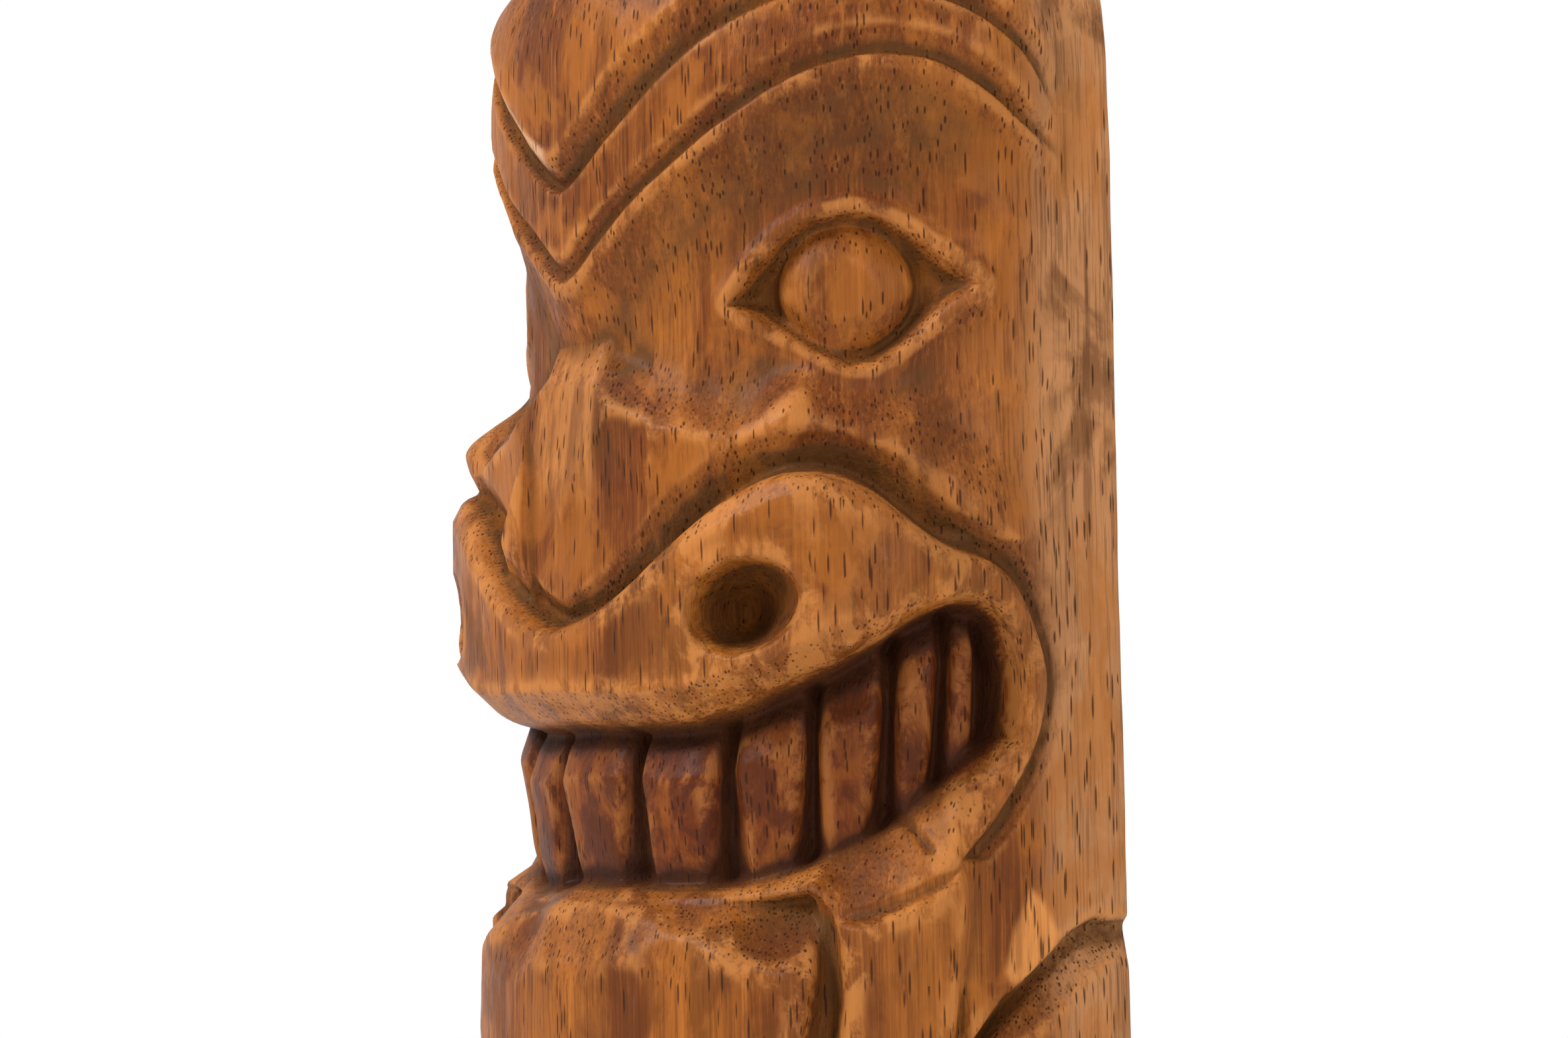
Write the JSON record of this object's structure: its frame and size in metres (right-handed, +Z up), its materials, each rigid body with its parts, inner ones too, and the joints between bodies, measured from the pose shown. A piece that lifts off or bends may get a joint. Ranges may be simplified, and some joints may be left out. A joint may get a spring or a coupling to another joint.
{
  "type": "carved tiki figure",
  "caption": "Hand-carved hardwood tiki figure with a flat back, drawn brows, a bared row of teeth and a jutting chin, standing on a chamfered plinth.",
  "frame": {"origin": "middle of the felt pad's underside, where the piece rests", "axes": "+Z up, the figure faces -Y, +X is the figure's left"},
  "size_m": [0.092, 0.062, 0.272],
  "materials": {
    "varnished_hardwood": "open-pored reddish-brown hardwood, knife-carved, thin gloss varnish",
    "plinth_hardwood": "same hardwood, sawn, sanded and varnished",
    "dowel_beech": "plain turned beech",
    "screw_steel": "zinc-plated steel, turned",
    "felt": "dense green wool felt"
  },
  "bodies": {
    "root": {"figure": "varnished_hardwood", "plinth": "plinth_hardwood", "locating_dowels": "dowel_beech", "plinth_screws": "screw_steel", "felt_pad": "felt"}
  },
  "joints": []
}
